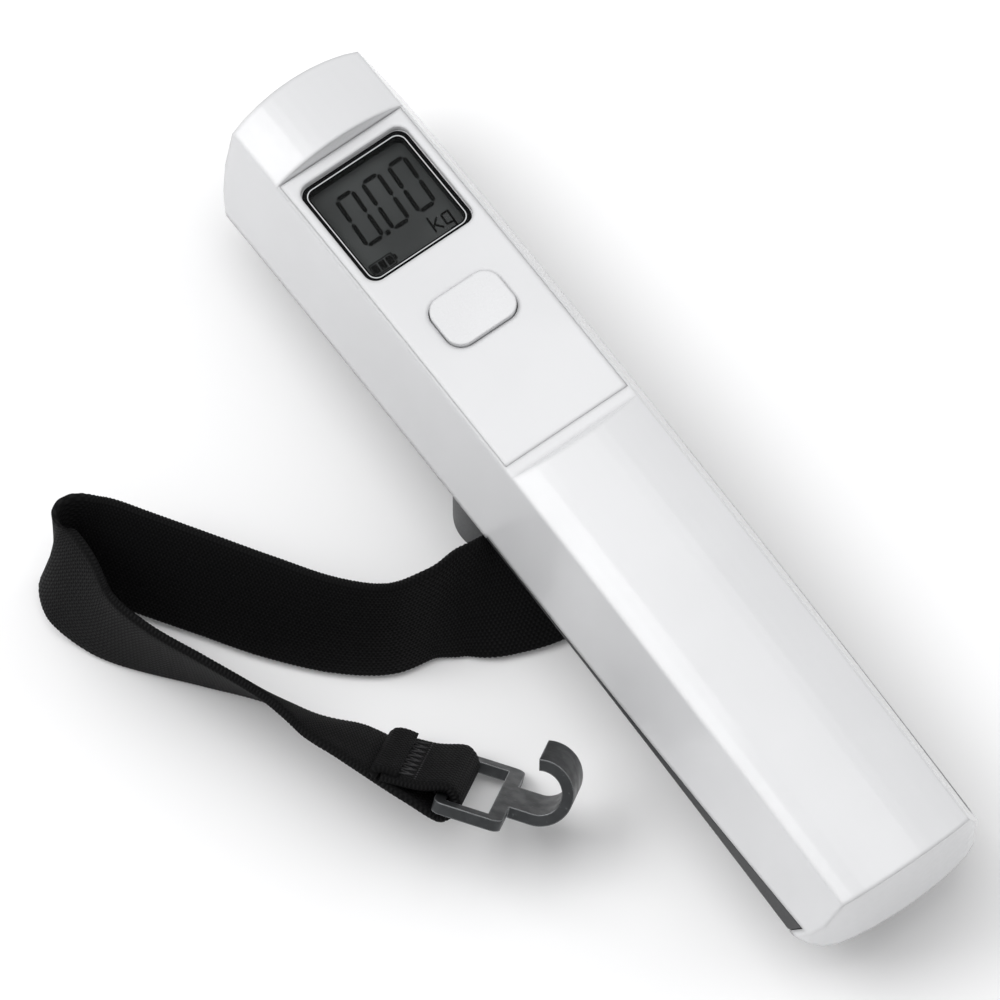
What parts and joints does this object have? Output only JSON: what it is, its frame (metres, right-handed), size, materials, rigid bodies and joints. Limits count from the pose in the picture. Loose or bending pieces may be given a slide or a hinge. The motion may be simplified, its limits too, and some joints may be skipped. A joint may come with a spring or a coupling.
{
  "type": "digital luggage scale",
  "caption": "Handheld digital hanging scale: arched grip with display and button, back collar, webbing strap and steel hook.",
  "frame": {"origin": "centre of the body's outline, at the height of the strap collar's lower rim", "axes": "+Y along the body towards the display end, +Z out of the front, away from the strap, +X across the body to the right when the display reads upright"},
  "size_m": [0.0919, 0.158, 0.0341],
  "materials": {
    "shell_white": "smooth moulded gloss",
    "button_white": "smooth moulded gloss",
    "cover_gray": "fine texture",
    "collar_gray": "fine texture",
    "lens_clear": "clear",
    "lcd_dark": "satin",
    "frame_black": "moulded",
    "strip_rubber": "soft",
    "switch_black": "moulded",
    "plunger_tan": "moulded",
    "board_green": "solder mask",
    "seal_black": "cast resin",
    "steel": "bright",
    "cell_steel": "polished",
    "spring_steel": "nickel plated",
    "beam_aluminium": "milled",
    "gauge_foil": "film",
    "wire_red": "smooth",
    "webbing_black": "ribbed weave",
    "hook_gray": "satin"
  },
  "bodies": {
    "scale_body": {"top_housing": "shell_white", "face_panel": "shell_white", "lcd_lens": "lens_clear", "lcd_glass": "lcd_dark", "lcd_frame": "frame_black", "contact_strips": "strip_rubber", "tact_switch": "switch_black", "main_board": "board_green", "chip_seal": "seal_black", "board_screws": "steel", "coin_cell": "cell_steel", "battery_clip": "spring_steel", "battery_tab": "spring_steel", "back_cover": "cover_gray", "case_screws": "steel", "strap_collar": "collar_gray", "load_cell": "beam_aluminium", "strain_gauges": "gauge_foil", "cell_screws": "steel", "load_yoke": "steel", "yoke_bolt": "steel", "anchor_pin": "steel", "gauge_wires": "wire_red", "strap": "webbing_black"},
    "button": {"mode_button": "button_white", "switch_plunger": "plunger_tan"},
    "battery_door": {"battery_cover": "cover_gray"},
    "hook": {"hook": "hook_gray"}
  },
  "joints": [
    {"name": "button_press", "type": "slide", "parent": "scale_body", "child": "button", "axis": [0, -0.0337, -0.9994], "range_m": [0, 0.0004], "stiffness_N_per_m": 1500, "springref_m": -0.0007},
    {"name": "battery_door_turn", "type": "hinge", "parent": "scale_body", "child": "battery_door", "pos_m": [0, 0.04275, 0.01501], "axis": [0, 0.0465, 0.9989], "range_deg": [0, 30]},
    {"name": "hook_swing", "type": "hinge", "parent": "scale_body", "child": "hook", "pos_m": [-0.0433, -0.0221, 0.0109], "axis": [-0.4935, -0.4211, 0.761], "range_deg": [-60, 60]}
  ]
}
